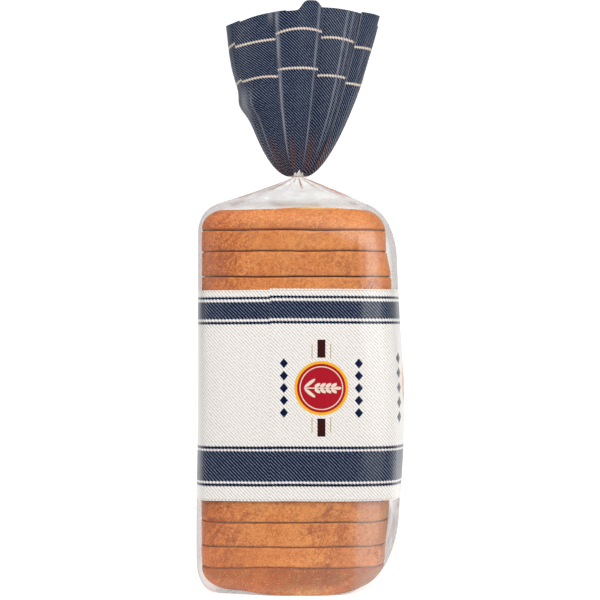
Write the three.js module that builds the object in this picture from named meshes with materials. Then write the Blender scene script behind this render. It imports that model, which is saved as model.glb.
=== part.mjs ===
// A sliced brioche loaf shut in its film bag, standing on its closed end, in millimetres, +Z up.
// The shown long side faces -Y and the loaf's domed side faces +X. The bag is one closed skin that is
// swept through five zones from the foot up: heel, side, shoulder, tent and the flared tail above the
// gathered neck, whose open mouth goes down inside the tail.
import * as THREE from "three";

// Driving sizes
const halfWidth = 64.2; // middle of the bag to either side, where it is fullest
const halfDepth = 60.5; // middle of the bag to its front or back
const shoulderTop = 237; // where the tent begins, just over the loaf's end slice
const neckHeight = 256.5;
const neckRadius = 4;
const neckShift = -1.9; // the gather sits a little to the left of the middle
const mouthShift = 1.75; // and the mouth a little to the right
const mouthHalfWidth = 51;
const mouthHalfDepth = 27;
const tailLength = 104; // along the film, from the neck to the rim at the front and back
const tailLonger = { sides: 6.5, right: 2 }; // what the rim's two ends and its right end have more
const tailWall = 3;
const cavityFloor = 0.3; // share of the tail's length that stays closed above the neck
const cavityDip = 2; // of the floor's middle below its edge

// Faces
const around = 84;
const rowsIn = { foot: 3, heel: 6, side: 8, shoulder: 5, tent: 5, tail: 12, inside: 7 };
const tailCrowding = 1.8; // draws the tail's rows down to the neck, where it flares most

// The heel and the shoulder are tighter on three sides than on the domed side, where the film is slack.
// The corner is the power of the section's rounded oblong.
const tight = { heelInset: 13.5, heelHeight: 16.5, shoulderInset: 14, shoulderDrop: 18, corner: 9 };
const slack = { heelInset: 36, heelHeight: 45, shoulderInset: 21.5, shoulderDrop: 37.5, corner: 5 };
const square = { heelInset: 2.5, heelHeight: 4.8, from: 0.74 }; // the heel where the front and back are flat
const bulge = { depth: 5.2, height: 108, spread: 66 }; // of the domed side, over the air beside the loaf
const sag = { depth: 1, height: 42, spread: 45 }; // of the flat side
const tentRise = Math.tan(THREE.MathUtils.degToRad(20));
const tentCurl = { part: 0.04, power: 6 }; // of the tent's height that it only gains close to the neck

// The tail opens fast above the neck. Its pleats take up these angles, from the domed side round past
// the front, as round ridges with creases between them, and one of them stands above the rim.
const pleats = [52, 25, 32, 41, 30, 34, 46, 28, 40, 32];
const pleatDepth = 5;
const pleatFullness = 0.7; // power that rounds a pleat out between its creases
const pleatsWhole = 0.5; // share of the tail's length at which they have their whole depth
const flarePower = { left: 0.505, right: 0.54 };
const flarePuff = { depth: 2.7, at: 0.75, spread: 0.26 }; // of the tail's left end, at a share of its length
const ellipse = 2; // power of the mouth's oblong
const rimPeak = { at: THREE.MathUtils.degToRad(-83), rise: 6, spread: 0.14 };

const { cos, sin, exp, abs, pow, PI } = Math;
const { lerp, smoothstep, euclideanModulo } = THREE.MathUtils;
const bump = ({ depth, height, spread }, z) => depth * exp(-(((z - height) / spread) ** 2));

// How far a direction belongs to the slack side, 0 to 1, and sizes blended round the bag
const slackness = (angle) => smoothstep(cos(angle), 0, 1);
const sized = (name, angle) => lerp(tight[name], slack[name], slackness(angle));
const heelSized = (name, angle) =>
  lerp(sized(name, angle), square[name], smoothstep(abs(sin(angle)), square.from, 1));

// Distance from the middle to a rounded oblong, a superellipse whose corners tighten with the power
function oblong(angle, across, deep, power) {
  return pow(pow(abs(cos(angle)) / across, power) + pow(abs(sin(angle)) / deep, power), -1 / power);
}

// The bag's reach in one direction at one height of its side
function sideReach(angle, z) {
  const right = halfWidth - bulge.depth + bump(bulge, z);
  const left = halfWidth - sag.depth + bump(sag, z);
  return oblong(angle, cos(angle) > 0 ? right : left, halfDepth, sized("corner", angle));
}

// Share of a pleat's depth in one direction
function pleatRelief(angle) {
  let rest = euclideanModulo(-THREE.MathUtils.radToDeg(angle), 360);
  for (const width of pleats) {
    if (rest < width) return sin((PI * rest) / width) ** pleatFullness;
    rest -= width;
  }
  return 0;
}

// The tail's reach and height in one direction, where share runs from 0 at the neck to 1 at the rim
function tailPoint(angle, share) {
  const off = euclideanModulo(angle - rimPeak.at + PI, 2 * PI) - PI;
  const ends = tailLonger.sides * cos(angle) ** 2 + tailLonger.right * cos(angle);
  const length = tailLength + ends + rimPeak.rise * exp(-((off / rimPeak.spread) ** 2));
  const mouth = oblong(angle, mouthHalfWidth, mouthHalfDepth, ellipse);
  const power = lerp(flarePower.right, flarePower.left, (1 - cos(angle)) / 2);
  const puff = flarePuff.depth * exp(-(((share - flarePuff.at) / flarePuff.spread) ** 2));
  const reach = lerp(neckRadius, mouth, pow(share, power)) + puff * Math.max(-cos(angle), 0) ** 4;
  const ridge = pleatDepth * (pleatRelief(angle) - 1) * smoothstep(share, 0, pleatsWhole);
  const rise = Math.sqrt(length ** 2 - mouth ** 2);
  return [reach + ridge, neckHeight + rise * share];
}

// The share of the tail's length at a share of the run up its outside and down its inside
const tailShare = {
  tail: (share) => share ** tailCrowding,
  inside: (share) => lerp(1, cavityFloor, share),
};

// Each zone gives reach and height in one direction at a share of its own run
const zones = {
  foot: (angle, share) => [share * (sideReach(angle, 0) - heelSized("heelInset", angle)), 0],
  heel(angle, share) {
    const turn = (share * PI) / 2;
    const z = heelSized("heelHeight", angle) * (1 - cos(turn));
    return [sideReach(angle, z) - heelSized("heelInset", angle) * (1 - sin(turn)), z];
  },
  side(angle, share) {
    const z = lerp(heelSized("heelHeight", angle), shoulderTop - sized("shoulderDrop", angle), share);
    return [sideReach(angle, z), z];
  },
  shoulder(angle, share) {
    const inset = sized("shoulderInset", angle);
    const start = shoulderTop - sized("shoulderDrop", angle);
    const corner = shoulderTop - inset * tentRise;
    const past = share * share;
    const rise = (corner - start) * 2 * share * (1 - share) + (shoulderTop - start) * past;
    return [sideReach(angle, start) - inset * past, start + rise];
  },
  tent(angle, share) {
    const [edge, low] = zones.shoulder(angle, 1);
    const climb = lerp(share, share ** tentCurl.power, tentCurl.part);
    return [lerp(edge, neckRadius, share), lerp(low, neckHeight, climb)];
  },
  tail: (angle, share) => tailPoint(angle, tailShare.tail(share)),
  inside(angle, share) {
    const [reach, z] = tailPoint(angle, tailShare.inside(share));
    return [reach - tailWall, z];
  },
};

// Rows of the skin from the middle of the foot up and down into the cavity. A zone begins on the last
// row of the one before, except the foot, which is the first, and the inside, which is a wall away.
const rows = [];
for (const [zone, count] of Object.entries(rowsIn)) {
  const first = zone === "foot" || zone === "inside" ? 0 : 1;
  for (let i = first; i <= count; i += 1) rows.push({ zone, share: i / count });
}

// The sections are centred on a line that leans to the neck and on to the mouth.
function middle(zone, share) {
  if (zone === "tent") return neckShift * share;
  if (zone in tailShare) return lerp(neckShift, mouthShift, tailShare[zone](share));
  return 0;
}

// A lathe's mesh has the rows and the closed ends that the skin needs, and each vertex is then placed.
function bagGeometry() {
  const profile = rows.map((row, i) => new THREE.Vector2(i === 0 ? 0 : 1, i));
  profile.push(new THREE.Vector2(0, rows.length));
  const skin = new THREE.LatheGeometry(profile, around);
  const place = skin.attributes.position;
  const floorHeight = zones.inside(0, 1)[1] - cavityDip;
  for (let k = 0; k < place.count; k += 1) {
    const angle = (2 * PI * Math.floor(k / profile.length)) / around;
    const row = rows[k % profile.length];
    if (row) {
      const [reach, height] = zones[row.zone](angle, row.share);
      place.setXYZ(k, middle(row.zone, row.share) + reach * cos(angle), reach * sin(angle), height);
    } else {
      place.setXYZ(k, middle("inside", 1), 0, floorHeight);
    }
  }
  skin.computeVertexNormals();
  return skin;
}

const film = new THREE.MeshStandardMaterial({ color: 0xd8925c, roughness: 0.35, metalness: 0 });
const bag = new THREE.Mesh(bagGeometry(), film);
bag.name = "bag";

// The origin is the middle of the box that holds the bag, at its foot.
bag.geometry.computeBoundingBox();
const box = bag.geometry.boundingBox;
bag.position.set(-(box.min.x + box.max.x) / 2, -(box.min.y + box.max.y) / 2, -box.min.z);

const loaf = new THREE.Group();
loaf.add(bag);

export default loaf;
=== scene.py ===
from bisect import bisect
from collections import namedtuple
from math import atan2, ceil, cos, exp, hypot, pi, radians, sin, sqrt, tan

import bmesh
import bpy
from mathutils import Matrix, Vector, noise


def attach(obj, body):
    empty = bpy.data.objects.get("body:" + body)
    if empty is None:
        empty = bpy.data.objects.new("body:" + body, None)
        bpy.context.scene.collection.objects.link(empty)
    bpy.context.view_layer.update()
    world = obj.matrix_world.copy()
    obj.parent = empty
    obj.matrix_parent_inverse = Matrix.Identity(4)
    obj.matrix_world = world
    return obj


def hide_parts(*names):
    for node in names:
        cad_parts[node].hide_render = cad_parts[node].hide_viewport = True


# A sliced brioche loaf in its film bag, standing on its closed end, in metres, +Z up. The shown long
# side faces -Y and the loaf's domed side faces +X. The film is clear at both ends of the loaf, printed
# with a twill band in between, gathered at the neck, and printed again on the pleated tail above it.
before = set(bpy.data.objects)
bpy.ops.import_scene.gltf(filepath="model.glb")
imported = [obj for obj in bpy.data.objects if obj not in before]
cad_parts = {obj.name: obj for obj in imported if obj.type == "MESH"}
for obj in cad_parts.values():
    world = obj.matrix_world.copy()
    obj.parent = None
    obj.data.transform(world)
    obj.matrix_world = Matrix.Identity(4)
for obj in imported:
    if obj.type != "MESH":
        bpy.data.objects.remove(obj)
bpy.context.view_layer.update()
MM = 0.001

# Sizes of the bag, the same as the solid's
HALF_WIDTH = 64.2 * MM
HALF_DEPTH = 60.5 * MM
SHOULDER_TOP = 237 * MM
NECK_HEIGHT = 256.5 * MM
NECK_RADIUS = 4 * MM
NECK_SHIFT = -1.9 * MM
MOUTH_SHIFT = 1.75 * MM
MOUTH_HALF_WIDTH = 51 * MM
MOUTH_HALF_DEPTH = 27 * MM
TIGHT = {"heel_inset": 13.5 * MM, "heel_height": 16.5 * MM, "shoulder_inset": 14 * MM,
         "shoulder_drop": 18 * MM, "corner": 9}
SLACK = {"heel_inset": 36 * MM, "heel_height": 45 * MM, "shoulder_inset": 21.5 * MM,
         "shoulder_drop": 37.5 * MM, "corner": 5}
SQUARE = {"heel_inset": 2.5 * MM, "heel_height": 4.8 * MM}
SQUARE_FROM = 0.74
BULGE = {"depth": 5.2 * MM, "at": 108 * MM, "spread": 66 * MM}
SAG = {"depth": 1 * MM, "at": 42 * MM, "spread": 45 * MM}
TENT_RISE = tan(radians(20))
TENT_CURL = {"part": 0.04, "power": 6}
FLARE_POWER = {"left": 0.505, "right": 0.54}
LEFT_PUFF = {"depth": 2.7 * MM, "at": 0.75, "spread": 0.26}
LEFT_LOBE = {"depth": 3 * MM, "at": 0.47, "spread": 0.07}
RIGHT_PUFF = {"depth": 1 * MM, "at": 0.55, "spread": 0.3}

# The printed band's edges on the film, and its stripes, thin and thick, from the top down
BAND_TOP = 184.5 * MM
BAND_FOOT = 57.3 * MM
BAND_STRIPES_MM = [(178.8, 180.3), (166.7, 177.2), (163.6, 165.2), (88.4, 90.1), (69.0, 87.3), (66.1, 67.8)]
THIN_STRIPE = 3  # millimetres, below which no light yarn shows in a stripe
SEAM_X = -18.6 * MM  # where the film's lap seam runs down the front
SEAM_LAP = 3 * MM
SEAM_STEP = 0.75 * MM  # by how much the print meets itself too low there, at the band's top
PRINT_PROUD = 0.1 * MM  # of the clear film under it
PRINT_RAGGED = 0.2 * MM

# The loaf inside. Its ends round off by so much inwards and upwards, as a quarter of an oval.
LOAF_LEFT = 61.2 * MM
LOAF_RIGHT_MM = [(20, 52.6), (52, 55.2), (188, 56.5), (211, 53.4)]  # how far out it is at a height
LOAF_DEEP = 59.2 * MM
LOAF_CORNER = {"tight": 9, "slack": 4.8}
LOAF_FOOT = 0.15 * MM
LOAF_TOP = 233.4 * MM
TOP_ARCH = {"depth": 1.8 * MM, "at": 7 * MM, "spread": 19 * MM}  # of the top, from left to right
FOOT_ROUND = {"tight": (27 * MM, 14.5 * MM), "slack": (38 * MM, 16.5 * MM), "square": (1.5 * MM, 2.5 * MM)}
TOP_ROUND = {"tight": (18 * MM, 12 * MM), "slack": (17 * MM, 16 * MM), "square": (5 * MM, 5 * MM)}
FILM_CLEAR = 0.6 * MM  # between the film and the crust, at least
CRUST = 1.3 * MM
CUT_GAP = 0.7 * MM
CUT_LIP = {"deep": 0.45 * MM, "high": 1.1 * MM}  # by which a slice's edge rounds off at its cuts
FIRST_CUTS = [16.9 * MM, 29.5 * MM, 44.2 * MM]
LAST_CUTS = [192.2 * MM, 207.6 * MM, 220.2 * MM]
SLICES_BETWEEN = 10


def lerp(a, b, share):
    return a + (b - a) * share


def smoothstep(value, low, high):
    share = min(max((value - low) / (high - low), 0), 1)
    return share * share * (3 - 2 * share)


def through(values, share):
    """The curve through a first, a middle and a last value."""
    first, middle, last = values
    return (first * (1 - share) * (1 - 2 * share) + middle * 4 * share * (1 - share)
            + last * share * (2 * share - 1))


def eased(points, value):
    """The smooth curve through pairs of a value and what it gives, held beyond the first and the last."""
    for (low, first), (high, last) in zip(points, points[1:]):
        if value < high:
            return lerp(first, last, smoothstep(value, low, high))
    return points[-1][1]


def hump(shape, at):
    return shape["depth"] * exp(-(((at - shape["at"]) / shape["spread"]) ** 2))


def srgb(red, green, blue):
    """A colour written as 0 to 255 in sRGB, as the linear one that shaders take."""
    def linear(part):
        part /= 255
        return part / 12.92 if part <= 0.04045 else ((part + 0.055) / 1.055) ** 2.4
    return (linear(red), linear(green), linear(blue), 1)


def grey(level):
    return (level, level, level, 1)


def shares(count, first=0):
    return [i / count for i in range(first, count + 1)]


def wave(x, y, z):
    """Smooth noise between about -1 and 1 at a place."""
    return noise.noise(Vector((x, y, z)))


def round_wave(angle, fineness, height, x=0, y=0):
    """Smooth noise that runs round the pack and meets itself. Its x and y pick another piece of it."""
    return wave(fineness * cos(angle) + x, fineness * sin(angle) + y, height)


# Meshes

def rows_of(place, way, *more):
    """Rows for a sweep, one for each share of the way. The place is a function that gives a point from
    an angle or a column's number, the share, and whatever more it needs."""
    return [lambda spot, share=share: place(spot, share, *more) for share in way]


def swept(rows, columns, maps=None, closed=True):
    """A grid rolled up round Z. A row is a function from a column's number to a point. Each of the maps
    is a UV map by its name: a function that gives its two values from a column's and a row's number."""
    bm = bmesh.new()
    bmesh.ops.create_grid(bm, x_segments=columns, y_segments=len(rows) - 1, size=0.5)
    spot = {v: (round((v.co.x + 0.5) * columns), round((v.co.y + 0.5) * (len(rows) - 1))) for v in bm.verts}
    for name, values_at in (maps or {}).items():
        layer = bm.loops.layers.uv.new(name)
        values = {vert: values_at(*place) for vert, place in spot.items()}
        for face in bm.faces:
            for loop in face.loops:
                loop[layer].uv = values[loop.vert]
    for vert, (column, row) in spot.items():
        vert.co = rows[row](column)
    if closed:
        bmesh.ops.remove_doubles(bm, verts=bm.verts, dist=0.002 * MM)
    return bm


def swept_by_angle(rows, columns, maps=None):
    """A sweep all the way round, whose rows are functions of the angle."""
    turned = [lambda column, row=row: row(2 * pi * column / columns) for row in rows]
    return swept(turned, columns, maps)


def added(name, data):
    """A new object of the scene that holds a mesh, a light or a camera."""
    made = bpy.data.objects.new(name, data)
    bpy.context.scene.collection.objects.link(made)
    return made


def smooth_mesh(bm, name, material):
    """A finished mesh as an object of the scene."""
    for face in bm.faces:
        face.smooth = True
    mesh = bpy.data.meshes.new(name)
    bm.to_mesh(mesh)
    bm.free()
    mesh.materials.append(material)
    return added(name, mesh)


def piece(bm, name, material):
    """A finished mesh as a piece of the pack that stands for the solid bag."""
    made = smooth_mesh(bm, name, material)
    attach(made, "root")
    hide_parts("bag")


# Material nodes

def sum_by(operation):
    """A value's own way to write one kind of sum."""
    return lambda value, *others: value.math(operation, *others)


class Value:
    """An output of a look's node. Sums are written with it as with a number, and each adds a node."""

    def __init__(self, look, socket):
        self.look = look
        self.socket = socket

    def math(self, operation, *others):
        return self.look.node("ShaderNodeMath", dict(enumerate((self, *others))), operation=operation)

    __add__ = sum_by("ADD")
    __sub__ = sum_by("SUBTRACT")
    __mul__ = sum_by("MULTIPLY")
    __truediv__ = sum_by("DIVIDE")
    __pow__ = sum_by("POWER")
    __abs__ = sum_by("ABSOLUTE")
    __lt__ = sum_by("LESS_THAN")
    __gt__ = sum_by("GREATER_THAN")

    def mapped(self, low, high, out_low=0, out_high=1):
        """The value from low to high brought smoothly to out_low to out_high, and held there beyond."""
        inputs = {"Value": self, "From Min": low, "From Max": high, "To Min": out_low, "To Max": out_high}
        return self.look.node("ShaderNodeMapRange", inputs, interpolation_type="SMOOTHSTEP")


def most(first, *others):
    for value in others:
        first = first.math("MAXIMUM", value)
    return first


def between(value, low, high):
    return (value > low) * (value < high)


def within(value, limit):
    """1 where a value is less than the limit away from nought."""
    return abs(value) < limit


class Look:
    """A material and short ways to add nodes to it, which give back the new node's output."""

    def __init__(self, name):
        self.material = bpy.data.materials.new(name)
        self.material.use_nodes = True
        self.tree = self.material.node_tree
        self.tree.nodes.clear()
        self.end = self.tree.nodes.new("ShaderNodeOutputMaterial")

    def node(self, kind, inputs, output=0, **settings):
        """A node whose inputs are given by name or by number, each a value or a constant."""
        made = self.tree.nodes.new(kind)
        for name, value in settings.items():
            setattr(made, name, value)
        for name, value in inputs.items():
            if isinstance(value, Value):
                self.tree.links.new(value.socket, made.inputs[name])
            else:
                made.inputs[name].default_value = value
        return Value(self, made.outputs[output])

    def mix(self, share, first, second):
        return self.node("ShaderNodeMix", {0: share, 6: first, 7: second}, 2, data_type="RGBA")

    def layered(self, colour, layers):
        """A colour with tints over it, each given with the share by which it covers what is below."""
        for share, tint in layers:
            colour = self.mix(share, colour, tint)
        return colour

    def parts(self, vector):
        """A vector's x, y and z."""
        made = self.node("ShaderNodeSeparateXYZ", {"Vector": vector}).socket.node
        return [Value(self, socket) for socket in made.outputs]

    def place(self, stretch=(1, 1, 1), turn=(0, 0, 0)):
        """Object coordinates for a pattern that is stretched and then turned."""
        source = self.node("ShaderNodeTexCoord", {}, "Object")
        inputs = {"Vector": source, "Rotation": turn, "Scale": stretch}
        return self.node("ShaderNodeMapping", inputs, vector_type="TEXTURE")

    def uv(self, name):
        """The two values of a UV map."""
        return self.parts(self.node("ShaderNodeUVMap", {}, uv_map=name))[:2]

    def noise(self, vector, scale, detail=2, rough=0.5, distortion=0):
        inputs = {"Vector": vector, "Scale": scale, "Detail": detail, "Roughness": rough,
                  "Distortion": distortion}
        return self.node("ShaderNodeTexNoise", inputs)

    def drawn_noise(self, x, y, x_scale, y_scale, detail=2):
        """Noise over two values, drawn out by scaling them apart."""
        flat = self.node("ShaderNodeCombineXYZ", {"X": x * x_scale, "Y": y * y_scale})
        return self.noise(flat, 1, detail)

    def grazing(self, **inputs):
        """0 where the surface is seen square on and 1 where it is seen along it, from either side."""
        return self.node("ShaderNodeLayerWeight", {"Blend": 0.5, **inputs}, "Facing")

    def bump(self, height, distance, strength, **inputs):
        inputs = {"Height": height, "Distance": distance, "Strength": strength, **inputs}
        return self.node("ShaderNodeBump", inputs)

    def glossed(self, under, mirror, normal, roughness):
        """A shader with so much white gloss over it."""
        inputs = {"Roughness": roughness, "Normal": normal, "Color": grey(1)}
        gloss = self.node("ShaderNodeBsdfAnisotropic", inputs)
        return self.node("ShaderNodeMixShader", {"Fac": mirror, 1: under, 2: gloss})

    def surface(self, **inputs):
        """A solid surface. An input's name is written with low lines for its spaces."""
        inputs = {name.replace("_", " "): value for name, value in inputs.items()}
        return self.node("ShaderNodeBsdfPrincipled", inputs)

    def finish(self, shader):
        self.tree.links.new(shader.socket, self.end.inputs["Surface"])
        return self.material


# The film's shape. A place on it has an angle round the pack and a share of the way up its own zone.

def slackness(angle):
    return smoothstep(cos(angle), 0, 1)


def squareness(angle):
    return smoothstep(abs(sin(angle)), SQUARE_FROM, 1)


def sized(name, angle):
    return lerp(TIGHT[name], SLACK[name], slackness(angle))


def heel_sized(name, angle):
    return lerp(sized(name, angle), SQUARE[name], squareness(angle))


def heel_end(angle):
    return heel_sized("heel_height", angle)


def shoulder_start(angle):
    return SHOULDER_TOP - sized("shoulder_drop", angle)


def oblong(angle, across, deep, power):
    """Distance from the middle to a rounded oblong, whose corners tighten with the power."""
    return ((abs(cos(angle)) / across) ** power + (abs(sin(angle)) / deep) ** power) ** (-1 / power)


def side_reach(angle, z):
    right = HALF_WIDTH - BULGE["depth"] + hump(BULGE, z)
    left = HALF_WIDTH - SAG["depth"] + hump(SAG, z)
    return oblong(angle, right if cos(angle) > 0 else left, HALF_DEPTH, sized("corner", angle))


def slack_waves(angle, z):
    """How far the film stands in or out in its faint upright waves, which are deepest on the domed side."""
    broad = round_wave(angle, 9, z / (60 * MM))
    fine = round_wave(angle, 30, z / (25 * MM))
    return lerp(0.2, 0.8, slackness(angle)) * MM * (0.5 * broad + 0.25 * fine - 0.1)


def pack_point(angle, reach, z, middle=0.0):
    return Vector((middle + reach * cos(angle), reach * sin(angle), z))


def foot_place(angle, share):
    return pack_point(angle, share * (side_reach(angle, 0) - heel_sized("heel_inset", angle)), 0)


def heel_place(angle, share):
    turn = share * pi / 2
    z = heel_end(angle) * (1 - cos(turn))
    reach = side_reach(angle, z) - heel_sized("heel_inset", angle) * (1 - sin(turn))
    return pack_point(angle, reach + share * slack_waves(angle, z), z)


def side_place(angle, share):
    z = lerp(heel_end(angle), shoulder_start(angle), share)
    return pack_point(angle, side_reach(angle, z) + slack_waves(angle, z), z)


def shoulder_place(angle, share):
    inset = sized("shoulder_inset", angle)
    start = shoulder_start(angle)
    corner = SHOULDER_TOP - inset * TENT_RISE
    past = share * share
    rise = (corner - start) * 2 * share * (1 - share) + (SHOULDER_TOP - start) * past
    reach = side_reach(angle, start) - inset * past + (1 - share) * slack_waves(angle, start)
    return pack_point(angle, reach, start + rise)


def tent_fold(angle, share):
    """The tent's folds, out of its smooth shape: a few by the shoulder, many fine ones by the neck, and a
    fuller side towards the loaf's dome."""
    few = round_wave(angle, 2.2, 0.8 * share, x=5)
    many = round_wave(angle, 7, share, y=3)
    fine = round_wave(angle, 20, 7)
    swell = smoothstep(share, 0, 0.35) * (1 - share ** 4)
    folds = 2.2 * few * (1 - 0.7 * share) + 1.8 * many * share + 0.9 * fine * share ** 3
    return swell * MM * (folds + 1.5 * slackness(angle))


def tent_place(angle, share):
    edge = shoulder_place(angle, 1)
    climb = lerp(share, share ** TENT_CURL["power"], TENT_CURL["part"])
    gather = NECK_RADIUS * (0.7 + 0.3 * round_wave(angle, 4, 2))
    z = lerp(edge.z, NECK_HEIGHT, climb) + tent_fold(angle, share)
    return pack_point(angle, lerp(hypot(edge.x, edge.y), gather, share), z, NECK_SHIFT * share)


# Clear film

FILM_WHITE = (0.91, 0.95, 0.96, 1)  # of what makes the film milky
# Painted shade: what is seen through the film's folds at the foot is dimmed towards this
FOLD_SHADE = (0.62, 0.6, 0.6, 1)  # of what is seen through a fold at the foot

# Where each look begins, and where it is whole
HAZE = {"left": (28 * MM, 38 * MM), "right": (56 * MM, 46 * MM), "top": (60 * MM, 55 * MM)}
HEEL_FOLD_SHADE = {"left": (46 * MM, 54 * MM), "top": (62 * MM, 50 * MM)}
VEIL = {"left": (0, 30 * MM), "top": (222 * MM, 214 * MM)}
RIM_GLOSS = (4 * MM, 20 * MM)

# The tent's streaks, painted reflections of the crust along its folds. Each has an angle and a spread in
# degrees, the share of the way to the neck where it starts, a strength and a tint.
CRUST_REFLECTION_STREAKS = [(316, 5, 0.15, 0.8, srgb(192, 98, 34)), (223, 5, 0.1, 0.7, srgb(168, 112, 88)),
           (236, 3, 0.4, 0.7, srgb(168, 126, 108)), (276, 3, 0.55, 0.9, srgb(160, 120, 104)),
           (255, 3, 0.7, 0.6, srgb(160, 130, 116)), (298, 4, 0.5, 0.5, srgb(176, 140, 120))]


def make_clear_look(name, milk, edge, reflection_streaks=()):
    """Clear film: what is behind it, dimmed towards an edge colour where it is seen along the film, and
    darkened by painted shade in its folds at the foot, a little milk, a haze low on the domed side, and a
    gloss that grows towards the edges. A film with painted reflection streaks is the tent, whose milk fades
    out at its lower edge."""
    look = Look(name)
    across, _, up = look.parts(look.place())
    crumple = look.noise(look.place((1, 1, 3)), 120, 2, 0.5, 0.6)
    normal = look.bump(crumple, 0.4 * MM, 0.15)
    haze = across.mapped(*HAZE["left"]) * across.mapped(*HAZE["right"], 0.3) * up.mapped(*HAZE["top"])
    cloud = look.noise(look.place(), 60, 3, 0.6)
    share = cloud.mapped(0.35, 0.75, milk * 0.6, milk * 1.4) + haze * 0.1
    if reflection_streaks:
        share = share * look.uv("fan")[1].mapped(0, 0.2, 0.1)
    colour = FILM_WHITE
    for at, spread, start, strength, tint in reflection_streaks:
        reflection_streak = fan_reflection_streak(look, at, spread, start, strength)
        colour = look.mix(reflection_streak.mapped(0, 0.3), colour, tint)
        share = most(share, reflection_streak)
    seen_through = look.mix(look.grazing() ** 2.5, grey(0.985), edge)
    seen_through = look.mix(heel_fold_shade(look), seen_through, FOLD_SHADE)
    body = look.node("ShaderNodeBsdfDiffuse", {"Color": colour, "Normal": normal})
    clear = look.node("ShaderNodeBsdfTransparent", {"Color": seen_through})
    film = look.node("ShaderNodeMixShader", {"Fac": share, 1: clear, 2: body})
    rims = look.grazing(Normal=normal) ** 5 * up.mapped(*RIM_GLOSS, 0.08, 0.35)
    mirror = rims + veil(look) * 0.075 + 0.01
    return look.finish(look.glossed(film, mirror, normal, 0.42))


def veil(look):
    """Where the film has a soft gloss though it is seen nearly square on, 0 to 1. It is most where the
    domed side begins to turn away, and least on the shoulder and the tent."""
    across, _, up = look.parts(look.place())
    grazing = look.grazing()
    turned = grazing.mapped(0.001, 0.016) * grazing.mapped(0.13, 0.06, 0.5)
    return turned * across.mapped(*VEIL["left"], 0.45) * up.mapped(*VEIL["top"], 0.2)


def heel_fold_shade(look):
    """Painted shade of upright folds in the slack film at the foot of the domed side, 0 to 1."""
    across, _, up = look.parts(look.place())
    folds = look.noise(look.place((1, 1, 4)), 220).mapped(0.4, 0.6, 0.25)
    return folds * across.mapped(*HEEL_FOLD_SHADE["left"]) * up.mapped(*HEEL_FOLD_SHADE["top"])


def fan_reflection_streak(look, at, spread, start, strength):
    """A painted reflection of the crust that runs to the neck at one angle of the tent, broken up along its
    way.
    """
    angle, share = look.uv("fan")
    off = (angle - at) / spread
    line = (off * off * -1).math("EXPONENT")
    ends = share.mapped(start, start + 0.25) * share.mapped(1, 0.9)
    breaks = look.drawn_noise(angle, share, 0.12, 3).mapped(0.3, 0.5, 0.5)
    return line * ends * breaks * strength


AROUND = 400


def build_clear_film():
    clear = make_clear_look("clear_film", 0.018, (0.68, 0.71, 0.72, 1))
    rows = rows_of(foot_place, shares(10)) + rows_of(heel_place, shares(16, 1))
    rows += rows_of(side_place, shares(60, 1)) + rows_of(shoulder_place, shares(14, 1))
    piece(swept_by_angle(rows, AROUND), "film_body", clear)
    milky = make_clear_look("tent_film", 0.45, (0.82, 0.86, 0.87, 1), CRUST_REFLECTION_STREAKS)
    way = shares(44)
    fan = {"fan": lambda column, row: (360 * column / AROUND, way[row])}
    piece(swept_by_angle(rows_of(tent_place, way), AROUND, fan), "film_tent", milky)


# Print

NAVY = srgb(0, 19, 54)
NAVY_YARN = srgb(144, 154, 166)
WHITE = srgb(243, 240, 237)
WHITE_YARN = srgb(203, 193, 183)
CREAM = srgb(232, 216, 200)
TAN = srgb(196, 172, 138)
RED = srgb(172, 20, 38)
GOLD = srgb(244, 178, 38)
BROWN = srgb(52, 18, 16)
TWILL_LEAN = radians(44)  # of the diagonals from upright
BAND_TWILL = 1.53  # millimetres between two of the band's diagonals, square to them
TAIL_TWILL = 1.28
SERRATION = 0.75  # millimetres that the stripes' edges step with the twill


def twill(look, across, up, pitch):
    """How near a place is to the thread between two diagonals, 0 to 0.5, and its height in steps that go
    with the diagonals, as the stripes' edges do."""
    skew = across * cos(TWILL_LEAN) + up * sin(TWILL_LEAN)
    turns = skew / pitch + look.drawn_noise(across, up, 0.5, 0.5) * 0.35
    return turns.math("PINGPONG", 0.5), up + (turns.math("FRACT") - 0.5) * SERRATION


def navy_twill(look, across, up, ridge):
    slub = look.drawn_noise(across, up, 1.1, 1.1, 1)
    return look.mix(ridge.mapped(0.33, 0.47) * slub.mapped(0.3, 0.62, 0.4), NAVY, NAVY_YARN)


def printed_shader(look, colour, height, least, edges):
    """Ink on the film, which is slightly crumpled. Its gloss grows towards the edges."""
    crumple = look.noise(look.place((1, 1, 3.3)), 70, 3, 0.55, 0.6)
    normal = look.bump(crumple, 0.35 * MM, 0.25)
    normal = look.bump(height, 0.03 * MM, 0.25, Normal=normal)
    ink = look.surface(Base_Color=colour, Roughness=0.5, Specular_IOR_Level=0.08, Normal=normal)
    mirror = look.grazing(Normal=normal).mapped(0.1, 0.8, 0, edges) + least
    return look.glossed(ink, mirror, normal, 0.3)


# The badge between the stripes, in millimetres from its middle. It is read with the pack lying down, so
# its own upright runs round the pack. It was drawn for this pack: a medallion with an ear of wheat on a
# dark bar, between thin lines, with a row of lozenges on either side.
MEDALLION = {"gold": 16.2, "red": 14.6, "ring": (12.5, 13.1)}
EAR = {"foot": -10.4, "tip": 9, "first": -4, "pitch": 3.3, "grains": 4, "out": 1.7, "stem": 0.35}
GRAIN = {"half": (2.05, 1.0), "lean": radians(32)}
TIP_GRAIN = {"up": 0.8, "half": (2.3, 0.95)}
LEAF = {"at": (-6.9, 3.0), "half": (4.0, 1.0), "lean": radians(38)}
BAR = {"half": 2.4, "ends": (18.2, 29)}
LINES = {"at": 5.6, "half": 0.32, "ends": (17.6, 26.5)}
LOZENGES = {"at": 22.5, "pitch": 7.4, "row": 18.5, "half": (2.5, 3.0)}
BADGE_X = 12 * MM
BADGE_HEIGHT = 125
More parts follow.
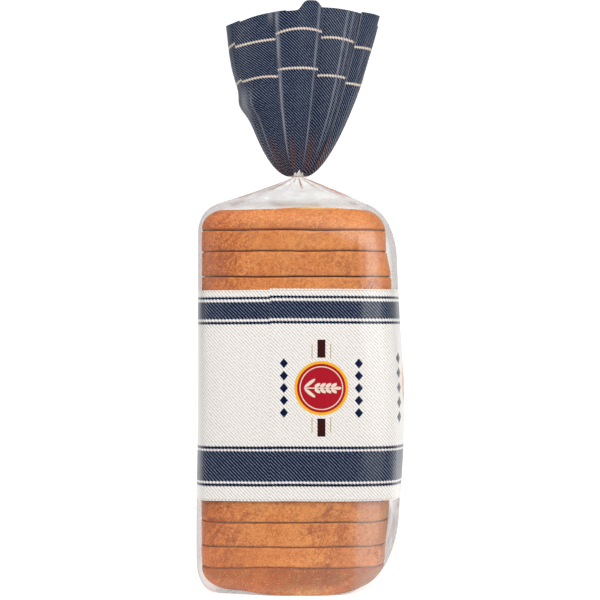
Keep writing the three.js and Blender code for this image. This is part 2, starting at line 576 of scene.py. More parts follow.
DOMED_BADGE = {"angle": radians(-20), "scale": 1.2}  # the one on the domed side is larger


def oval(along, out, half, lean=0):
    """1 inside an oval whose long axis leans away from the along direction."""
    long = (along * cos(lean) + out * sin(lean)) / half[0]
    wide = (out * cos(lean) - along * sin(lean)) / half[1]
    return long * long + wide * wide < 1


def wheat_ear(rise, beside):
    """1 on an ear of wheat: a stem, a pair of leaves, pairs of grains and one at the tip."""
    middle = (EAR["foot"] + EAR["tip"]) / 2
    stem = within(beside, EAR["stem"]) * within(rise - middle, EAR["tip"] - middle)
    out = abs(beside)
    turns = (rise - EAR["first"]) / EAR["pitch"]
    along = (turns.math("FRACT") - 0.5) * EAR["pitch"]
    grain = oval(along, out - EAR["out"], GRAIN["half"], GRAIN["lean"]) * between(turns, 0, EAR["grains"])
    tip = oval(rise - (EAR["tip"] + TIP_GRAIN["up"]), out, TIP_GRAIN["half"])
    leaf = oval(rise - LEAF["at"][0], out - LEAF["at"][1], LEAF["half"], LEAF["lean"])
    return most(stem, grain, tip, leaf)


def badge(look, ground, across, up, middle, scale):
    """The ground with one badge over it."""
    rise = (across - middle) / scale
    beside = (up - BADGE_HEIGHT) / scale
    out = abs(beside)
    from_bar = abs(rise)
    bar = within(rise, BAR["half"]) * between(out, *BAR["ends"])
    line = within(from_bar - LINES["at"], LINES["half"]) * between(out, *LINES["ends"])
    part = beside.math("PINGPONG", LOZENGES["pitch"] / 2)
    slant = part / LOZENGES["half"][1] + abs(from_bar - LOZENGES["at"]) / LOZENGES["half"][0]
    lozenge = (slant < 1) * within(beside, LOZENGES["row"])
    away = (rise * rise + beside * beside).math("SQRT")
    gold = away < MEDALLION["gold"]
    red = away < MEDALLION["red"]
    cream = most(between(away, *MEDALLION["ring"]), wheat_ear(rise, beside))
    return look.layered(ground, [(bar, BROWN), (line, TAN), (lozenge, NAVY), (gold, GOLD), (red, RED),
                                 (cream, CREAM)])


HEM_IN = {"top": 1.0, "foot": 0.9}  # millimetres from the band's edges to their stitches
STITCH = {"pitch": 2.1, "gap": 0.4, "half": 0.3}


def make_band_look(badges):
    """Off-white twill with navy stripes, a stitched hem at both edges, and the badges."""
    look = Look("twill_band")
    across, up = look.uv("film")
    ridge, ragged = twill(look, across, up, BAND_TWILL)
    slub = look.drawn_noise(across, up, 0.9, 0.9, 1)
    colour = look.mix(ridge.mapped(0.18, 0.42) * slub.mapped(0.3, 0.65, 0.45), WHITE, WHITE_YARN)
    for low, high in BAND_STRIPES_MM:
        ink = NAVY if high - low < THIN_STRIPE else navy_twill(look, across, up, ridge)
        colour = look.mix(between(ragged, low, high), colour, ink)
    dash = (across / STITCH["pitch"]).math("FRACT") > STITCH["gap"]
    for hem in (BAND_TOP / MM - HEM_IN["top"], BAND_FOOT / MM + HEM_IN["foot"]):
        colour = look.mix(dash * within(up - hem, STITCH["half"]) * 0.7, colour, TAN)
    for middle, scale in badges:
        colour = badge(look, colour, across, up, middle, scale)
    return look.finish(printed_shader(look, colour, ridge, veil(look) * 0.034 + 0.002, 0.25))


# The band is a sleeve that starts at the lap seam, goes round the pack and ends under its own start.
SEAM_ANGLE = atan2(-HALF_DEPTH, SEAM_X)
LAP_ANGLE = SEAM_LAP / hypot(HALF_DEPTH, SEAM_X)
SLEEVE_COLUMNS = 420


def sleeve_angle(column):
    return lerp(SEAM_ANGLE, SEAM_ANGLE + 2 * pi + LAP_ANGLE, column / SLEEVE_COLUMNS)


def print_height(column, share):
    """How high up the print a row of the sleeve is. Both edges are slightly ragged."""
    foot = BAND_FOOT + PRINT_RAGGED * wave(0.9 * column, 7, 2)
    top = BAND_TOP + PRINT_RAGGED * wave(0.9 * column, 3, 1)
    return lerp(foot, top, share)


def print_drift(column, height):
    """How far the print lies off its height on the film: slightly wavy, and lower by the seam's step at
    the top when it comes round."""
    angle = sleeve_angle(column)
    share = (height - BAND_FOOT) / (BAND_TOP - BAND_FOOT)
    top = 0.35 * cos(2 * (angle + radians(88))) + 0.15 * round_wave(angle, 2, 8)
    foot = 0.25 * round_wave(angle, 2.5, 4)
    return lerp(foot, top, share) * MM - SEAM_STEP * column / SLEEVE_COLUMNS * share ** 4


def sleeve_place(column, share):
    angle = sleeve_angle(column)
    height = print_height(column, share)
    z = height + print_drift(column, height)
    lap = PRINT_PROUD * (1 + 1.6 * smoothstep(column, 6, 0))
    return pack_point(angle, side_reach(angle, z) + slack_waves(angle, z) + lap, z)


def sleeve_lengths():
    """How far round the film each column of the sleeve lies from the seam, in millimetres."""
    points = [sleeve_place(column, 0.5) for column in range(SLEEVE_COLUMNS + 1)]
    lengths = [0.0]
    for one, two in zip(points, points[1:]):
        lengths.append(lengths[-1] + (two.xy - one.xy).length / MM)
    return lengths


def length_at(lengths, angle):
    """The length round the film at an angle of the pack."""
    turn = (angle - SEAM_ANGLE) % (2 * pi)
    return lengths[round(SLEEVE_COLUMNS * turn / (2 * pi + LAP_ANGLE))]


def build_band():
    lengths = sleeve_lengths()
    badges = [(length_at(lengths, atan2(-HALF_DEPTH, BADGE_X)), 1),
              (length_at(lengths, DOMED_BADGE["angle"]), DOMED_BADGE["scale"]),
              (length_at(lengths, atan2(HALF_DEPTH, -BADGE_X)), 1)]
    way = shares(50)
    flat = {"film": lambda column, row: (lengths[column], print_height(column, way[row]) / MM)}
    sleeve = swept(rows_of(sleeve_place, way), SLEEVE_COLUMNS, flat, closed=False)
    piece(sleeve, "film_band", make_band_look(badges))


# Tail

# The panels of the tail's folds, from the left end round past the front. Each has the angle on the
# mouth's ellipse where it starts, how far it stands out of the ellipse at its start and its end, and for
# its start, middle and end how much its film is pulled up at the lower stripe, how much at the upper
# one, and the length of film from the neck to its rim, in millimetres.
Panel = namedtuple("Panel", "start out low high rim")
TAIL_PANELS = [
    Panel(183, (-1.2, -1.4), (4.6, 5.2, 5.9), (2.2, 2.9, 3.6), (108.2, 107.0, 106.6)),
    Panel(207, (-0.4, 0.2), (4.2, 1.9, -2.0), (1.0, -0.9, -2.2), (105.4, 105.6, 105.6)),
    Panel(248.5, (1.0, 1.0), (4.3, 4.0, 4.3), (1.2, 4.0, 2.9), (105.2, 105.2, 105.4)),
    Panel(285, (-2.4, -1.2), (-2.0, 2.0, 4.5), (-3.0, 1.2, 1.3), (106.6, 108.2, 109.0)),
    Panel(313.5, (0.4, -1.0), (0.7, 3.0, 4.7), (-0.9, 1.5, 3.0), (109.6, 111.6, 112.6)),
    Panel(347, (-4.2, -4.2), (1.0, 0.6, 0.0), (1.0, 0.6, 0.0), (111.0, 110.2, 109.5)),
    Panel(375, (-1.2, -0.2), (0.0, 2.0, 2.0), (0.0, 2.0, 2.0), (108.6, 108.2, 107.0)),
    Panel(404, (-3.0, -2.6), (-1.0, 0.6, 1.0), (-1.0, 0.6, 1.0), (107.2, 107.0, 106.2)),
    Panel(432, (0.0, 0.2), (2.0, 4.0, 3.5), (1.0, 3.0, 2.0), (106.0, 107.4, 107.0)),
    Panel(462, (-3.2, -3.0), (-1.0, 0.0, 0.0), (-1.0, 0.0, 0.0), (105.0, 105.0, 104.4)),
    Panel(489, (-0.4, -0.4), (1.0, 3.0, 2.5), (0.5, 2.0, 2.0), (105.4, 105.8, 104.6)),
    Panel(520, (-3.0, -2.6), (0.0, 1.2, 1.0), (0.0, 1.2, 1.0), (104.0, 105.6, 107.6)),
]
STRIPE_HEIGHTS = (66.1 * MM, 90.1 * MM)  # from the neck along the film
STRIPE_HALF = 0.62  # millimetres
TAIL_TUCK = 10  # degrees that the film runs on under the next panel before it turns back
RIM_PEAK = {"panel": 3, "before": 9 * MM, "rise": 6 * MM, "spread": 6.5 * MM}
TAIL_STEP = 0.7 * MM
PANEL_STEP = 0.3  # degrees
TAIL_CROWDING = 1.8  # draws the tail's rows down to the neck, where it flares most
CUFF = {"least": 0.004, "tuft": 0.036, "half": 0.6, "lean": 0.06, "spikes": 0.26}

# Where the film is rubbed pale along a crease, and painted with the crease's highlight: its angle and half
# width in degrees, the shares of the tail's length between which it shows, and its strength
TAIL_RUBS_AND_HIGHLIGHTS = [(188, 4, 0.2, 1.1, 0.4), (199, 1.5, 0.3, 1.1, 0.35), (204, 9, 0.36, 0.62, 0.95),
             (218, 1, 0.05, 0.6, 0.7), (245.5, 2.4, 0.9, 1.1, 0.6), (250.5, 1.5, 0.05, 1.1, 0.9),
             (281, 0.6, 0.02, 1.1, 0.95), (304, 0.8, 0.1, 1.1, 0.85), (309, 0.7, 0.1, 1.1, 0.7),
             (314.5, 0.9, 0.2, 1.1, 0.6), (330, 1, 0.5, 0.9, 0.35), (387, 1.2, 0.1, 1.1, 0.6),
             (434, 1.5, 0.1, 1.1, 0.8), (447, 0.8, 0.05, 0.8, 0.6), (491, 1.3, 0.1, 1.1, 0.7),
             (505, 0.9, 0.1, 0.9, 0.5), (420, 0.9, 0.05, 0.7, 0.5)]


def stands_over(i):
    """Whether a panel stands further out than the one before it."""
    return TAIL_PANELS[i].out[0] > TAIL_PANELS[i - 1].out[1]


def mouth_point(angle, out=0):
    """A point on the mouth's ellipse, or so many millimetres off it."""
    turn = radians(angle)
    spot = Vector((MOUTH_HALF_WIDTH * cos(turn), MOUTH_HALF_DEPTH * sin(turn)))
    away = Vector((cos(turn) / MOUTH_HALF_WIDTH, sin(turn) / MOUTH_HALF_DEPTH)).normalized()
    return spot + away * out * MM


def folded_panels():
    """Points along each panel: x, y and rim length, the two pulls, and the angle. The film runs on under
    the panel that stands further out, on either side of it."""
    panels = []
    for i, panel in enumerate(TAIL_PANELS):
        following = (i + 1) % len(TAIL_PANELS)
        end = TAIL_PANELS[following].start + (0 if following else 360)
        first = panel.start if stands_over(i) else panel.start - TAIL_TUCK
        last = end + TAIL_TUCK if stands_over(following) else end
        points = []
        for share in shares(ceil((last - first) / PANEL_STEP)):
            angle = lerp(first, last, share)
            spot = mouth_point(angle, lerp(*panel.out, share))
            pulls = Vector((through(panel.low, share), through(panel.high, share))) * MM
            points.append((Vector((*spot, through(panel.rim, share) * MM)), pulls, angle))
        panels.append(points)
    return panels


def smoothed(values, passes=3):
    """A closed run of vectors with its corners rounded."""
    for _ in range(passes):
        count = len(values)
        values = [(values[i - 1] + 2 * values[i] + values[(i + 1) % count]) / 4 for i in range(count)]
    return values


def folded_section():
    """Columns of the tail at its mouth, evenly spaced along the film. Each has its x, y and rim's length,
    its two pulls, and its angle and how far along the film it is from its panel's middle."""
    panels = folded_panels()
    points = [point for panel in panels for point in panel]
    points.append(points[0])
    lengths = [0.0]
    for (one, _, _), (two, _, _) in zip(points, points[1:]):
        lengths.append(lengths[-1] + (two.xy - one.xy).length)
    middles = []
    for panel in panels:
        first = len(middles)
        middles += [(lengths[first] + lengths[first + len(panel) - 1]) / 2] * len(panel)
    middles.append(lengths[-1] + middles[0])
    count = round(lengths[-1] / TAIL_STEP)
    spots = []
    pulls = []
    marks = []
    for k in range(count):
        along = lengths[-1] * k / count
        i = min(bisect(lengths, along) - 1, len(points) - 2)
        share = (along - lengths[i]) / max(lengths[i + 1] - lengths[i], 1e-9)
        spots.append(points[i][0].lerp(points[i + 1][0], share))
        pulls.append(points[i][1].lerp(points[i + 1][1], share))
        marks.append((points[i][2], along - lerp(middles[i], middles[i + 1], share)))
    return smoothed(spots), smoothed(pulls), marks


SECTION, PULLS, SECTION_MARKS = folded_section()


def peak_column():
    """The column at the centre panel's right fold, under the rim's highest point."""
    goal = mouth_point(TAIL_PANELS[RIM_PEAK["panel"]].start)
    return min(range(len(SECTION)), key=lambda i: (SECTION[i].xy - goal).length)


PEAK_COLUMN = peak_column()


def rim_length(column):
    off = (column - PEAK_COLUMN) * TAIL_STEP + RIM_PEAK["before"]
    return SECTION[column].z + RIM_PEAK["rise"] * exp(-((off / RIM_PEAK["spread"]) ** 4))


def pull(column, from_neck):
    """How much the film is pulled up in a column, at a distance from the neck."""
    low, high = STRIPE_HEIGHTS
    share = min(max((from_neck - low) / (high - low), 0), 1)
    return lerp(*PULLS[column], share)


def tail_side(column):
    """From -1 at the tail's left end to 1 at its right end."""
    across, deep = SECTION[column].xy
    return across / hypot(across, deep)


def tail_width(column, share):
    """The tail's width at a share of its length, as a share of its mouth's."""
    power = lerp(FLARE_POWER["right"], FLARE_POWER["left"], (1 - tail_side(column)) / 2)
    return lerp(NECK_RADIUS / MOUTH_HALF_WIDTH, 1, share ** power)


def tail_point(column, share):
    """A place on the tail: it opens fast above the neck, and its two ends puff out."""
    column %= len(SECTION)
    across, deep = SECTION[column].xy
    width = tail_width(column, share)
    puff = hump(RIGHT_PUFF, share) if across > 0 else hump(LEFT_PUFF, share) + hump(LEFT_LOBE, share)
    puff *= tail_side(column) ** 4 * (1 - share ** 6)
    crumple = 0.5 * MM * wave(column * 0.5, share * 2, 0) * (1 - share)
    crumple += 0.45 * MM * wave(column * 0.06, share * 4, 5) * smoothstep(share, 0.1, 0.5)
    away = 1 + (puff + crumple) / max(hypot(across, deep) * width, 1 * MM)
    rise = sqrt(rim_length(column) ** 2 - across ** 2 - deep ** 2)
    x = lerp(NECK_SHIFT, MOUTH_SHIFT, share) + across * width * away
    return Vector((x, deep * width * away, NECK_HEIGHT + rise * share))


def print_start(column):
    """The share of the tail's length where its print begins. A tuft of clear film with a few spikes
    stands up in front of it, and another behind."""
    across, deep = SECTION[column % len(SECTION)].xy
    off = across / hypot(across, deep * MOUTH_HALF_WIDTH / MOUTH_HALF_DEPTH) - CUFF["lean"]
    tuft = smoothstep(abs(off), CUFF["half"], 0)
    spike = abs(off / CUFF["spikes"] % 1 - 0.5) * 2
    ragged = 0.3 * wave(column % len(SECTION) * 0.3, 1, 2)
    return CUFF["least"] + tuft * CUFF["tuft"] * (0.35 + 0.6 * spike + ragged)


def rub_and_highlight_at(angle, share):
    """How pale the film is rubbed and painted with highlights at a place of the tail, from 0 to 1."""
    strongest = 0.0
    for at, half, low, high, strength in TAIL_RUBS_AND_HIGHLIGHTS:
        away = (angle - at + 180) % 360 - 180
        ends = smoothstep(share, low, low + 0.12) * smoothstep(share, high, high - 0.12)
        strongest = max(strongest, strength * ends * exp(-((away / half) ** 2)))
    return strongest


def build_tail():
    count = len(SECTION)
    way = [s ** TAIL_CROWDING for s in shares(70)]

    def cuff_place(column, share):
        return tail_point(column, share * print_start(column))

    def print_share(column, share):
        return lerp(print_start(column), 1, share)

    def print_place(column, share):
        return tail_point(column, print_share(column, share))

    def film_values(column, row):
        share = print_share(column, way[row])
        from_neck = (tail_point(column, share) - Vector((NECK_SHIFT, 0, NECK_HEIGHT))).length
        column %= count
        along = SECTION_MARKS[column][1] * tail_width(column, share)
        return along / MM, (from_neck - pull(column, from_neck)) / MM

    def rub_and_highlight_values(column, row):
        share = print_share(column, way[row])
        return rub_and_highlight_at(SECTION_MARKS[column % count][0], share), share
    cuff = swept(rows_of(cuff_place, shares(7)), count)
    piece(cuff, "film_neck", make_clear_look("neck_film", 0.95, grey(0.8)))
    flared = swept(rows_of(print_place, way), count, {"film": film_values, "rub_and_highlight": rub_and_highlight_values})
    piece(flared, "film_tail", make_tail_look())


def make_tail_look():
    """Navy twill with two cream cord stripes, rubbed pale with painted highlights along the creases, and
    with a painted reddish-brown reflection near the gather.
    """
    look = Look("twill_tail")
    across, up = look.uv("film")
    rub_and_highlight, share = look.uv("rub_and_highlight")
    ridge, ragged = twill(look, across, up, TAIL_TWILL)
    reflection_patches = look.drawn_noise(across / (share + 0.1), share, 0.16, 2)
    # A painted reddish-brown reflection near the gather, broken into patches
    stain_and_reflection = share.mapped(0.3, 0.08) * reflection_patches.mapped(0.5, 0.62) * 0.8
    colour = look.mix(stain_and_reflection, navy_twill(look, across, up, ridge), srgb(104, 64, 46))
    cord = look.mix(ridge.mapped(0.25, 0.47) * 0.5, CREAM, srgb(120, 112, 116))
    for height in STRIPE_HEIGHTS:
        colour = look.mix(within(ragged - height / MM, STRIPE_HALF), colour, cord)
    breaks = look.drawn_noise(across, up, 0.3, 0.06)
    # Pale along the creases: partly rubbed print, partly painted highlights
    colour = look.mix(rub_and_highlight * breaks.mapped(0.3, 0.6, 0.45, 0.95), colour, srgb(146, 148, 158))
    return look.finish(printed_shader(look, colour, ridge, 0.006, 0.08))


# Loaf

BROWNEST_X = 6 * MM  # where the lowest slice is brownest, a little to the domed side
WRINKLE_LEAN = (0, radians(38), 0)

# Where each look of the crust begins, and where it is whole
FLAT_SIDE = (-20 * MM, -48 * MM)
REDDER = (-20 * MM, -64 * MM)
LOWEST_SLICE = (18.1 * MM, 15.7 * MM)
BROWNEST = (45 * MM, 20 * MM)  # from the brownest place
# A painted glint of light low on the lowest slice
FOOT_GLINT = {"top": (8 * MM, 2 * MM), "ends": (20 * MM, 6 * MM)}
TOP_SLICE = (218 * MM, 222 * MM)
GLEAM = {"foot": (232.5 * MM, 234.5 * MM), "left": (-8 * MM, 4 * MM), "right": (26 * MM, 12 * MM)}


def make_crust_look():
    """Baked golden. The loaf's flat side and some patches are redder and rough, with dark blotches, pale
    freckles and slanting wrinkles. The lowest slice is browner. The edges of the cuts are painted darker
    with the shade of the gaps, and painted highlights lie low on the lowest slice and along the top edge."""
    look = Look("golden_crust")
    place = look.place()
    across, _, up = look.parts(place)
    off_middle = abs(across - BROWNEST_X)
    foot = up.mapped(*LOWEST_SLICE)
    patches = look.noise(place, 22).mapped(0.52, 0.68)
    rough = most(patches, across.mapped(*FLAT_SIDE), foot * 0.8)
    blotch = look.noise(place, 55, 3, 0.55, 0.3)
    mottle = look.noise(place, 380, 3, 0.65)
    speckle = look.noise(place, 1100, 2, 0.6)
    stain_and_reflection = look.noise(look.place((1, 1, 2.4), WRINKLE_LEAN), 110, 3, 0.6, 0.4)
    folds = look.noise(look.place((1, 1, 3), WRINKLE_LEAN), 90, 2, 0.5, 0.8)
    gaps = look.noise(place, 35, 1).mapped(0.42, 0.56)
    wrinkle = abs(folds - 0.5).mapped(0.03, 0) * gaps * rough.mapped(0, 1, 0.35)
    browned = foot * blotch.mapped(0.6, 0.35, 0.8) * off_middle.mapped(*BROWNEST, 0.7)
    foot_glint = up.mapped(*FOOT_GLINT["top"]) * off_middle.mapped(*FOOT_GLINT["ends"])
    gleam = up.mapped(*GLEAM["foot"]) * across.mapped(*GLEAM["left"]) * across.mapped(*GLEAM["right"])
    cut_shade, _ = look.uv("cut")
    colour = look.layered(srgb(230, 147, 75), [
        (across.mapped(*REDDER), srgb(208, 112, 50)),
        (browned, srgb(112, 56, 6)),
        (foot_glint * 0.5, srgb(206, 160, 84)),
        (blotch.mapped(0.58, 0.38, 0, 0.55), srgb(206, 114, 50)),
        (up.mapped(*TOP_SLICE, 0, 0.18), srgb(176, 84, 36)),
        (mottle.mapped(0.54, 0.36) * rough.mapped(0, 1, 0.4, 0.7), srgb(172, 80, 34)),
        (stain_and_reflection.mapped(0.5, 0.62) * rough * 0.48, srgb(150, 66, 30)),
        (speckle.mapped(0.48, 0.34) * 0.5, srgb(168, 80, 34)),
        (speckle.mapped(0.55, 0.7) * rough.mapped(0, 1, 0.45, 0.55), srgb(244, 184, 116)),
        (wrinkle * 0.55, srgb(146, 66, 32)),
        (gleam * 0.8, srgb(252, 216, 152)),
        # Painted shade of the gaps, on the crust's cut faces and the edges beside them
        (cut_shade * 0.7, srgb(172, 78, 32)),
    ])
    normal = look.bump(mottle * 0.8 + speckle * 0.2 - wrinkle * 0.3, 0.3 * MM, 0.8)
    return look.finish(look.surface(Base_Color=colour, Roughness=0.62, Specular_IOR_Level=0.25,
                                    Normal=normal))


def make_crumb_look():
    look = Look("soft_crumb")
    cells = look.node("ShaderNodeTexVoronoi", {"Vector": look.place(), "Scale": 520})
    cloud = look.noise(look.place(), 90, 3, 0.6)
    colour = look.mix(cells.mapped(0.2, 0.6), srgb(196, 152, 96), srgb(240, 214, 164))
    colour = look.mix(cloud.mapped(0.4, 0.7, 0, 0.4), colour, srgb(226, 190, 132))
    normal = look.bump(cells, 0.6 * MM, 0.7)
    return look.finish(look.surface(Base_Color=colour, Roughness=0.85, Normal=normal,
                                    Subsurface_Weight=0.1, Subsurface_Scale=2 * MM))


def cut_heights():
    step = (LAST_CUTS[0] - FIRST_CUTS[-1]) / SLICES_BETWEEN
    return FIRST_CUTS + [FIRST_CUTS[-1] + step * i for i in range(1, SLICES_BETWEEN)] + LAST_CUTS


CUTS = cut_heights()
FOOT_HEEL = {"height": LOAF_FOOT, "arched": 0, "inwards": 1, "crown": 0.1 * MM, "cut": 0}
TOP_HEEL = {"height": LOAF_TOP, "arched": 1, "inwards": -1, "crown": 0.7 * MM, "cut": len(CUTS) - 1}


def relief(angle, reach, z):
    """Low swells and dents of the baked sides."""
    spot = pack_point(angle, reach, z)
    broad = noise.noise(spot / (26 * MM))
    middling = noise.noise(spot / (8 * MM) + Vector((7, 3, 5)))
    fine = noise.noise(spot / (3 * MM))
    return (0.4 * broad + 0.15 * middling + 0.06 * fine) * MM


def end_back(angle, from_end, rounding):
    """How far the crust draws back from its side at a height from the loaf's end."""
    inset, height = (lerp(lerp(a, b, slackness(angle)), c, squareness(angle))
                     for a, b, c in zip(rounding["tight"], rounding["slack"], rounding["square"]))
    return inset * quarter_back(from_end / height)


def quarter_back(share):
    """How far a quarter round is still short of its side, at a share of its height."""
    short = 1 - min(max(share, 0), 1)
    return 1 - sqrt(1 - short * short)


def loaf_side(angle, z):
    """How far out the crust is at a height, but for its rounded ends."""
    across = eased(LOAF_RIGHT_MM, z / MM) * MM if cos(angle) > 0 else LOAF_LEFT
    corner = lerp(LOAF_CORNER["tight"], LOAF_CORNER["slack"], slackness(angle))
    return oblong(angle, across, LOAF_DEEP, corner)


def loaf_end(heel, x):
    """The height of the loaf's lower or upper end. The upper one is slightly arched."""
    return heel["height"] + heel["arched"] * hump(TOP_ARCH, x)


def film_reach(angle, z):
    """How far out the film is at a height below the tent."""
    start = shoulder_start(angle)
    if z < start:
        return side_reach(angle, z) - heel_sized("heel_inset", angle) * quarter_back(z / heel_end(angle))
    inset = sized("shoulder_inset", angle)
    straight = SHOULDER_TOP - inset * TENT_RISE - start
    curve = SHOULDER_TOP - start - 2 * straight
    share = (sqrt(straight ** 2 + curve * min(z - start, SHOULDER_TOP - start)) - straight) / curve
    return side_reach(angle, start) - inset * share * share


def loaf_reach(angle, z):
    side = loaf_side(angle, z)
    top = loaf_end(TOP_HEEL, side * cos(angle))
    reach = side - end_back(angle, z - LOAF_FOOT, FOOT_ROUND) - end_back(angle, top - z, TOP_ROUND)
    reach += relief(angle, reach, z) - 0.3 * MM
    return min(reach, film_reach(angle, z) - FILM_CLEAR)


def cut_surface(number, angle, reach):
    """The height of one cut at one place: knives leave it nearly flat, and the soft slices bend a little."""
    x = reach * cos(angle)
    y = reach * sin(angle)
    sway = wave(x / (34 * MM), y / (34 * MM), 3.7 * number)
    tear = wave(x / (7 * MM), y / (7 * MM), 9.1 * number)
    return CUTS[number] + (0.55 * sway + 0.16 * tear) * MM


def cut_lip(from_cut):
    """How far a slice's edge draws back near its cut."""
    return CUT_LIP["deep"] * max(0, 1 - from_cut / CUT_LIP["high"]) ** 2


def slice_shift(number):
    """How far a slice has slid out of line."""
    return 0.3 * MM * Vector((wave(number * 1.7, 4.2, 0.3), wave(number * 1.7, 13.2, 0.3), 0))


def wall_place(angle, share, number, inset):
    """A place on a slice's side. The edges at its cuts are rounded."""
    reach = loaf_reach(angle, lerp(CUTS[number - 1], CUTS[number], share)) - inset
    low = cut_surface(number - 1, angle, reach) + CUT_GAP / 2
    high = cut_surface(number, angle, reach) - CUT_GAP / 2
    z = lerp(low, high, share)
    reach = loaf_reach(angle, z) - inset - cut_lip(min(z - low, high - z))
    return pack_point(angle, reach, z) + slice_shift(number)


def cut_place(angle, share, number, side):
    """A place on a cut face of the crumb, from its middle out. The side is 1 above the cut, -1 below it."""
    reach = share * (loaf_reach(angle, CUTS[number]) - CRUST - CUT_LIP["deep"])
    z = cut_surface(number, angle, reach) + side * CUT_GAP / 2
    pit = noise.noise(pack_point(angle, reach, z) / (2.5 * MM))
    z += side * max(pit, 0) * 0.3 * MM * (1 - share ** 8)
    return pack_point(angle, reach, z) + slice_shift(number + (1 if side > 0 else 0))


def heel_rim(angle, heel, inset):
    """The height where a heel's end turns into its side."""
    side = loaf_side(angle, heel["height"])
    return loaf_end(heel, side * cos(angle)) + heel["inwards"] * (heel["crown"] + inset)


def heel_end_place(angle, share, heel, inset):
    """A place on a heel's crusty end, from its middle out. It is slightly crowned."""
    reach = share * (loaf_reach(angle, heel_rim(angle, heel, inset)) - inset)
    end = loaf_end(heel, reach * cos(angle))
    dents = 0.4 * relief(angle, reach, end) * (1 - share ** 4)
    return pack_point(angle, reach, end + heel["inwards"] * (heel["crown"] * share ** 3 + dents + inset))


def heel_side_place(angle, share, heel, inset):
    """A place on a heel's side, from its crusty end to its cut. The rows are closer together by the end."""
    number = heel["cut"]
    cut = cut_surface(number, angle, loaf_reach(angle, CUTS[number])) - heel["inwards"] * CUT_GAP / 2
    z = lerp(heel_rim(angle, heel, inset), cut, 1 - cos(share * pi / 2))
    return pack_point(angle, loaf_reach(angle, z) - inset - cut_lip(abs(cut - z)), z)


def heel_rows(heel, inset):
    """Rows of a heel from the middle of its crusty end to its cut."""
    end = rows_of(heel_end_place, shares(12), heel, inset)
    return end + rows_of(heel_side_place, shares(18, 1), heel, inset)


SLICE_AROUND = 260
CRUMB_AROUND = 160
WALL_SHARES = [0, 0.03, 0.07, 0.15, 0.25, 0.38, 0.5, 0.62, 0.75, 0.85, 0.93, 0.97, 1]


def build_slice(number, crust_look, crumb_look):
    """A slice: a ring of crust round a body of crumb. The heels' crust goes over their end too. The crust's
    map "cut" is 1 at the cuts and behind the crust's outside, which is nought; where it is 1 the crust is
    painted darker with the shade of the gaps."""
    discs = shares(8)
    lower_cut = rows_of(cut_place, discs, number - 1, 1)
    upper_cut = rows_of(cut_place, discs[::-1], number, -1)
    if number == 0:
        crust = heel_rows(FOOT_HEEL, 0) + heel_rows(FOOT_HEEL, CRUST)[::-1]
        crumb = heel_rows(FOOT_HEEL, CRUST) + upper_cut[1:]
        outside = range(len(crust) // 2 - 1)
    elif number == len(CUTS):
        crust = heel_rows(TOP_HEEL, CRUST) + heel_rows(TOP_HEEL, 0)[::-1]
        crumb = lower_cut[:-1] + heel_rows(TOP_HEEL, CRUST)[::-1]
        outside = range(len(crust) // 2 + 1, len(crust))
    else:
        crust = rows_of(wall_place, WALL_SHARES, number, 0)
        crust += rows_of(wall_place, (1, 0.5, 0), number, CRUST) + crust[:1]
        crumb = lower_cut + rows_of(wall_place, (0.03, 0.5, 0.97), number, CRUST) + upper_cut
        outside = range(1, len(WALL_SHARES) - 1)
    name = f"slice_{number + 1:02d}"
    cut_shade_map = {"cut": lambda column, row: (0 if row in outside else 1, 0)}
    piece(swept_by_angle(crust, SLICE_AROUND, cut_shade_map), name + "_crust", crust_look)
    piece(swept_by_angle(crumb, CRUMB_AROUND), name + "_crumb", crumb_look)


def build_loaf():
    crust_look = make_crust_look()
    crumb_look = make_crumb_look()
    for number in range(len(CUTS) + 1):
        build_slice(number, crust_look, crumb_look)


# Stage

FLOOR_HALF_WIDTH = 3.0
FLOOR_NEAR = -2.5
FLOOR_BEND = 1.6  # how far behind the pack the floor starts to bend up
BEND_RADIUS = 1.2
BACKDROP_HIGH = 3.0
LIT_TO = -0.0704  # the nearest floor that the camera sees
DARK_FROM = -0.12
CAMERA_PLACE = (-0.6 * MM, -1.0, 178 * MM)
LENS = {"sensor": 36, "length": 94}
LIGHTS_AIM = Vector((0, 0, 0.18))  # the middle of the pack
WORLD_LIGHT = 0.14


def make_paper_look():
    """Pale paper, lit up under the pack and behind it and dark in front, so that it throws no light up."""
    look = Look("pale_paper")
    place = look.place()
    _, deep, _ = look.parts(place)
    paper = look.mix(look.noise(place, 300), grey(0.8), grey(0.84))
    colour = look.mix(deep.mapped(LIT_TO, DARK_FROM), paper, grey(0.15))
    glow = deep.mapped(LIT_TO, LIT_TO - 5 * MM, 0.6, 0)
    return look.finish(look.surface(Base_Color=colour, Roughness=0.9, Specular_IOR_Level=0.1,
                                    Emission_Color=grey(1), Emission_Strength=glow))


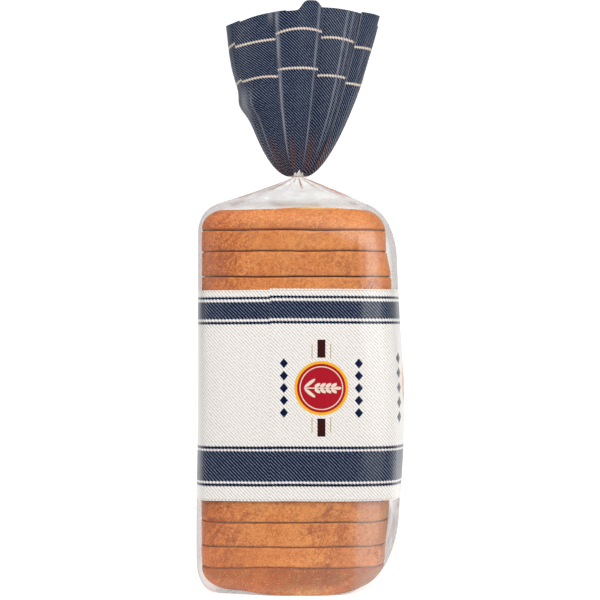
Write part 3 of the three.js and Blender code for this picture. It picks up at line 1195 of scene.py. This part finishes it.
def build_stage():
    """A pale floor that bends up into a backdrop."""
    bm = bmesh.new()
    bmesh.ops.create_grid(bm, x_segments=2, y_segments=60, size=1)
    flat = FLOOR_BEND - FLOOR_NEAR
    curve = BEND_RADIUS * pi / 2
    for vert in bm.verts:
        along = (vert.co.y + 1) / 2 * (flat + curve + BACKDROP_HIGH)
        x = vert.co.x * FLOOR_HALF_WIDTH
        if along < flat:
            vert.co = (x, FLOOR_NEAR + along, 0)
        elif along < flat + curve:
            turn = (along - flat) / BEND_RADIUS
            vert.co = (x, FLOOR_BEND + BEND_RADIUS * sin(turn), BEND_RADIUS * (1 - cos(turn)))
        else:
            vert.co = (x, FLOOR_BEND + BEND_RADIUS, BEND_RADIUS + along - flat - curve)
    sweep = smooth_mesh(bm, "sweep", make_paper_look())


def soft_light(name, place, width, height, radiance):
    """A rectangular softbox aimed at the middle of the pack."""
    light = bpy.data.lights.new(name, "AREA")
    light.shape = "RECTANGLE"
    light.size = width
    light.size_y = height
    light.energy = radiance * pi * width * height
    made = added(name, light)
    made.location = place
    made.rotation_euler = (LIGHTS_AIM - Vector(place)).to_track_quat("-Z", "Y").to_euler()


def build_lights():
    soft_light("right_softbox", (0.76, -1.14, 0.7), 1.25, 1.5, 3.4)
    soft_light("left_softbox", (-1.2, -0.66, 0.7), 0.6, 1.5, 3.2)
    soft_light("top_softbox", (0, -0.9, 1.9), 2.6, 1.5, 1.5)
    world = bpy.data.worlds.new("studio")
    bpy.context.scene.world = world
    world.use_nodes = True
    back = world.node_tree.nodes["Background"]
    back.inputs["Color"].default_value = grey(1)
    back.inputs["Strength"].default_value = WORLD_LIGHT


def build_camera():
    """Level with the middle of the pack, a metre away, square to the shown side."""
    camera = bpy.data.cameras.new("camera")
    camera.sensor_width = LENS["sensor"]
    camera.lens = LENS["length"]
    made = added("camera", camera)
    made.location = CAMERA_PLACE
    made.rotation_euler = (radians(90), 0, 0)
    bpy.context.scene.camera = made


build_camera()
build_stage()
build_lights()
build_clear_film()
build_band()
build_tail()
build_loaf()
bpy.context.scene.view_settings.view_transform = "Standard"
